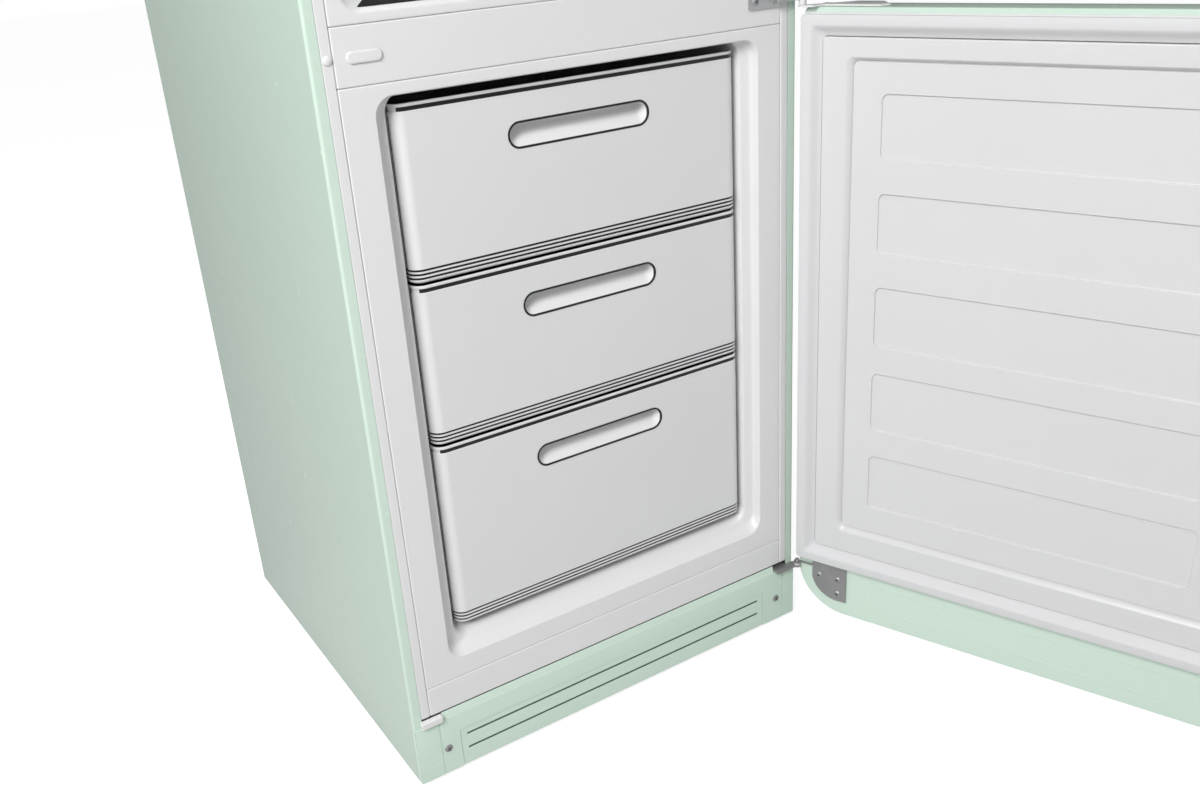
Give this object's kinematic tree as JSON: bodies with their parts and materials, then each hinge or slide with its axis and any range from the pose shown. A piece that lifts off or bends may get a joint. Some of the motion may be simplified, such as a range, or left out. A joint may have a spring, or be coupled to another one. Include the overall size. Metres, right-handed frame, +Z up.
{
  "type": "top freezer refrigerator",
  "caption": "Tall retro two-door refrigerator with rounded doors, fridge compartment above, freezer with pull-out drawers below, shelves, crisper and door balconies.",
  "frame": {"origin": "middle of the bounding box's base with both doors open as at rest; the cabinet's own centre line stands 152.8 mm to -X and its front frame plane 11.0 mm to -Y of it", "axes": "+Z up, -Y the side the doors and drawers open to, +X the hinge side"},
  "size_m": [0.9066, 1.168, 1.968],
  "materials": {
    "air_duct_cover": "white satin moulding",
    "base_tray": "galvanised sheet",
    "bottle_balcony": "clear polystyrene",
    "bottom_drawer_bin": "white satin moulding",
    "bottom_drawer_front": "silver-grey satin moulding",
    "bottom_drawer_grip": "white satin moulding",
    "bottom_hinge_bracket": "dark zinc plate",
    "bottom_rail": "white satin moulding",
    "cabinet_wrap": "pale green gloss enamel",
    "compressor": "black",
    "condenser": "black",
    "crisper_cover_glass": "clear tempered glass",
    "crisper_cover_trim": "white satin moulding",
    "crisper_drawer": "clear polystyrene",
    "dairy_balcony": "clear polystyrene",
    "dairy_lid": "clear polystyrene",
    "foot_front_left": "black moulding",
    "foot_front_right": "black moulding",
    "foot_rear_left": "black moulding",
    "foot_rear_right": "black moulding",
    "freezer_door_gasket": "pale grey soft seal",
    "freezer_door_handle": "polished chrome",
    "freezer_door_liner": "white satin moulding",
    "freezer_door_shell": "pale green gloss enamel",
    "freezer_hinge_leaf": "dark zinc plate",
    "freezer_liner": "white satin moulding",
    "freezer_top_leaf": "white satin moulding",
    "fridge_bottom_leaf": "black",
    "fridge_door_gasket": "pale grey soft seal",
    "fridge_door_handle": "polished chrome",
    "fridge_door_liner": "white satin moulding",
    "fridge_door_shell": "pale green gloss enamel",
    "fridge_hinge_leaf": "dark zinc plate",
    "fridge_liner": "white satin moulding",
    "hinge_cap": "white satin moulding",
    "lamp_housing": "white satin moulding",
    "middle_balcony": "clear polystyrene",
    "middle_drawer_bin": "white satin moulding",
    "middle_drawer_front": "silver-grey satin moulding",
    "middle_drawer_grip": "white satin moulding",
    "middle_hinge_bracket": "bright zinc plate",
    "mullion_cover": "white satin moulding",
    "oval_plug": "white satin moulding",
    "plinth_cover": "pale green gloss enamel",
    "plinth_grille": "pale green gloss enamel",
    "rear_panel": "galvanised sheet",
    "round_plug": "white satin moulding",
    "shelf_lower_glass": "clear tempered glass",
    "shelf_lower_trim": "white satin moulding",
    "shelf_upper_glass": "clear tempered glass",
    "shelf_upper_trim": "white satin moulding",
    "side_trim_left": "white satin moulding",
    "side_trim_right": "white satin moulding",
    "thermostat_knob": "silver-grey satin moulding",
    "top_drawer_bin": "white satin moulding",
    "top_drawer_front": "silver-grey satin moulding",
    "top_drawer_grip": "white satin moulding",
    "top_header": "pale green gloss enamel",
    "top_hinge_bracket": "dark zinc plate"
  },
  "bodies": {
    "cabinet": {"air_duct_cover": "air_duct_cover", "base_tray": "base_tray", "bottom_hinge_bracket": "bottom_hinge_bracket", "bottom_rail": "bottom_rail", "cabinet_wrap": "cabinet_wrap", "compressor": "compressor", "condenser": "condenser", "crisper_cover_glass": "crisper_cover_glass", "crisper_cover_trim": "crisper_cover_trim", "foot_front_left": "foot_front_left", "foot_front_right": "foot_front_right", "foot_rear_left": "foot_rear_left", "foot_rear_right": "foot_rear_right", "freezer_liner": "freezer_liner", "fridge_liner": "fridge_liner", "hinge_cap": "hinge_cap", "lamp_housing": "lamp_housing", "middle_hinge_bracket": "middle_hinge_bracket", "mullion_cover": "mullion_cover", "oval_plug": "oval_plug", "plinth_cover": "plinth_cover", "plinth_grille": "plinth_grille", "rear_panel": "rear_panel", "round_plug": "round_plug", "shelf_lower_glass": "shelf_lower_glass", "shelf_lower_trim": "shelf_lower_trim", "shelf_upper_glass": "shelf_upper_glass", "shelf_upper_trim": "shelf_upper_trim", "side_trim_left": "side_trim_left", "side_trim_right": "side_trim_right", "top_header": "top_header", "top_hinge_bracket": "top_hinge_bracket"},
    "freezer_door": {"freezer_door_gasket": "freezer_door_gasket", "freezer_door_handle": "freezer_door_handle", "freezer_door_liner": "freezer_door_liner", "freezer_door_shell": "freezer_door_shell", "freezer_hinge_leaf": "freezer_hinge_leaf", "freezer_top_leaf": "freezer_top_leaf"},
    "fridge_door": {"bottle_balcony": "bottle_balcony", "dairy_balcony": "dairy_balcony", "fridge_bottom_leaf": "fridge_bottom_leaf", "fridge_door_gasket": "fridge_door_gasket", "fridge_door_handle": "fridge_door_handle", "fridge_door_liner": "fridge_door_liner", "fridge_door_shell": "fridge_door_shell", "fridge_hinge_leaf": "fridge_hinge_leaf", "middle_balcony": "middle_balcony"},
    "dairy_lid": {"dairy_lid": "dairy_lid"},
    "top_drawer": {"top_drawer_bin": "top_drawer_bin", "top_drawer_front": "top_drawer_front", "top_drawer_grip": "top_drawer_grip"},
    "middle_drawer": {"middle_drawer_bin": "middle_drawer_bin", "middle_drawer_front": "middle_drawer_front", "middle_drawer_grip": "middle_drawer_grip"},
    "bottom_drawer": {"bottom_drawer_bin": "bottom_drawer_bin", "bottom_drawer_front": "bottom_drawer_front", "bottom_drawer_grip": "bottom_drawer_grip"},
    "crisper": {"crisper_drawer": "crisper_drawer"},
    "thermostat_knob": {"thermostat_knob": "thermostat_knob"}
  },
  "joints": [
    {"name": "freezer_door_hinge", "type": "hinge", "parent": "cabinet", "child": "freezer_door", "pos_m": [0.14816, -0.02155, 0.03], "axis": [0, 0, 1], "range_deg": [-111, 9]},
    {"name": "fridge_door_hinge", "type": "hinge", "parent": "cabinet", "child": "fridge_door", "pos_m": [0.14816, -0.02155, 0.88045], "axis": [0, 0, 1], "range_deg": [-111, 9]},
    {"name": "top_drawer_slide", "type": "slide", "parent": "cabinet", "child": "top_drawer", "axis": [0, -1, 0], "range_m": [0, 0.3]},
    {"name": "middle_drawer_slide", "type": "slide", "parent": "cabinet", "child": "middle_drawer", "axis": [0, -1, 0], "range_m": [0, 0.3]},
    {"name": "bottom_drawer_slide", "type": "slide", "parent": "cabinet", "child": "bottom_drawer", "axis": [0, -1, 0], "range_m": [0, 0.24]},
    {"name": "crisper_slide", "type": "slide", "parent": "cabinet", "child": "crisper", "axis": [0, -1, 0], "range_m": [0, 0.28]},
    {"name": "thermostat_turn", "type": "hinge", "parent": "cabinet", "child": "thermostat_knob", "pos_m": [-0.10284, 0.13365, 1.8392], "axis": [0, -1, 0], "range_deg": [0, 270]},
    {"name": "dairy_lid_hinge", "type": "hinge", "parent": "fridge_door", "child": "dairy_lid", "pos_m": [0.25248, -0.30392, 1.6588], "axis": [-0.3584, 0.9336, 0], "range_deg": [0, 80]}
  ]
}
